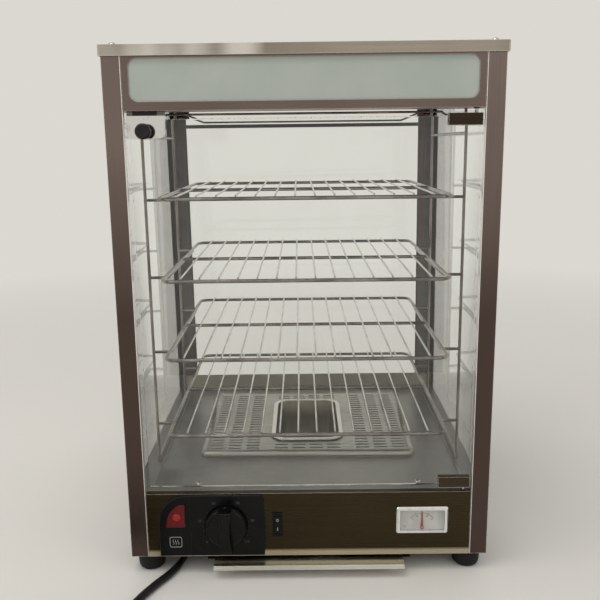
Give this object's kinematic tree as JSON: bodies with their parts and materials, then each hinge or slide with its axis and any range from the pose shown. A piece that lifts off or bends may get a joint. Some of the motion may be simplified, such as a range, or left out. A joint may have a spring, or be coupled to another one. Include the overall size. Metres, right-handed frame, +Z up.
{
  "type": "countertop pie warmer",
  "caption": "Upright glass-sided warming cabinet with a hinged glass door, wire shelves, a water pan in a slotted cover and a slide-out crumb tray.",
  "frame": {"origin": "on the bench, under the middle of the cabinet's box from the thermostat grip to the cord gland", "axes": "+Z up, the door faces -Y, +X to the right as seen from the front"},
  "size_m": [0.5733, 0.8046, 0.6608],
  "materials": {
    "brushed_steel_sheet": "brushed",
    "clear_glass": "polished",
    "frosted_glass": "frosted",
    "bright_wire": "polished",
    "plated_steel": "satin",
    "gloss_black": "gloss",
    "matte_black": "matte",
    "red_lens": "translucent gloss",
    "white_plastic": "matte",
    "needle_red": "satin",
    "lamp_glass": "opal",
    "black_rubber": "matte"
  },
  "bodies": {
    "cabinet": {"base_plate": "brushed_steel_sheet", "control_panel": "brushed_steel_sheet", "cord_gland": "matte_black", "element_brackets": "brushed_steel_sheet", "feet": "black_rubber", "floor_plate": "brushed_steel_sheet", "floor_screws": "plated_steel", "foot_screws": "plated_steel", "front_posts": "brushed_steel_sheet", "header_lens": "frosted_glass", "header_panel": "brushed_steel_sheet", "heating_element": "plated_steel", "hinge_bushes": "matte_black", "lamp_holders": "white_plastic", "lamp_tube": "lamp_glass", "light_tray": "brushed_steel_sheet", "magnet_catch": "matte_black", "mains_plug": "matte_black", "pilot_lens": "red_lens", "plug_pins": "plated_steel", "power_cord_coil": "black_rubber", "power_cord_run": "black_rubber", "rack_left": "bright_wire", "rack_right": "bright_wire", "rack_ties": "bright_wire", "rear_glass": "clear_glass", "rear_glass_channel": "brushed_steel_sheet", "rear_panel": "brushed_steel_sheet", "rear_posts": "brushed_steel_sheet", "rear_rails": "brushed_steel_sheet", "rocker_housing": "matte_black", "roof_brackets": "plated_steel", "roof_cap": "brushed_steel_sheet", "roof_screws": "plated_steel", "side_glass_left": "clear_glass", "side_glass_right": "clear_glass", "side_panels": "brushed_steel_sheet", "thermometer_bezel": "bright_wire", "thermometer_body": "white_plastic", "thermometer_dial": "white_plastic", "thermometer_window": "clear_glass", "thermostat_bezel": "gloss_black", "thermostat_body": "matte_black", "tray_rails": "matte_black"},
    "door": {"door_glass": "clear_glass", "hinge_clamps": "brushed_steel_sheet", "hinge_pins": "brushed_steel_sheet", "handle_plate": "bright_wire", "handle_knob": "gloss_black"},
    "knob": {"thermostat_knob": "gloss_black", "thermostat_shaft": "plated_steel"},
    "rocker": {"rocker_paddle": "gloss_black"},
    "needle": {"thermometer_needle": "needle_red"},
    "shelf_one": {"shelf_1": "bright_wire"},
    "shelf_two": {"shelf_2": "bright_wire"},
    "shelf_three": {"shelf_3": "bright_wire"},
    "shelf_four": {"shelf_4": "bright_wire"},
    "cover": {"perforated_cover": "brushed_steel_sheet"},
    "pan": {"water_pan": "brushed_steel_sheet"},
    "tray": {"crumb_tray": "brushed_steel_sheet"}
  },
  "joints": [
    {"name": "door_hinge", "type": "hinge", "parent": "cabinet", "child": "door", "pos_m": [0.198, -0.21, 0.35], "axis": [0, 0, 1], "range_deg": [0, 110]},
    {"name": "thermostat_turn", "type": "hinge", "parent": "cabinet", "child": "knob", "pos_m": [-0.1056, -0.214, 0.0675], "axis": [0, 1, 0], "range_deg": [0, 270]},
    {"name": "rocker_tip", "type": "hinge", "parent": "cabinet", "child": "rocker", "pos_m": [-0.0399, -0.21, 0.0669], "axis": [1, 0, 0], "range_deg": [0, 12]},
    {"name": "needle_swing", "type": "hinge", "parent": "cabinet", "child": "needle", "pos_m": [0.1457, -0.215, 0.062], "axis": [0, 1, 0], "range_deg": [-50, 50]},
    {"name": "shelf_one_slide", "type": "slide", "parent": "cabinet", "child": "shelf_one", "axis": [0, -1, 0], "range_m": [0, 0.025]},
    {"name": "shelf_two_slide", "type": "slide", "parent": "cabinet", "child": "shelf_two", "axis": [0, -1, 0], "range_m": [0, 0.025]},
    {"name": "shelf_three_slide", "type": "slide", "parent": "cabinet", "child": "shelf_three", "axis": [0, -1, 0], "range_m": [0, 0.025]},
    {"name": "shelf_four_slide", "type": "slide", "parent": "cabinet", "child": "shelf_four", "axis": [0, -1, 0], "range_m": [0, 0.025]},
    {"name": "cover_lift", "type": "slide", "parent": "cabinet", "child": "cover", "axis": [0, 0, 1], "range_m": [0, 0.02]},
    {"name": "pan_lift", "type": "slide", "parent": "cover", "child": "pan", "axis": [0, 0, 1], "range_m": [0, 0.025]},
    {"name": "tray_slide", "type": "slide", "parent": "cabinet", "child": "tray", "axis": [0, -1, 0], "range_m": [0, 0.25]}
  ]
}
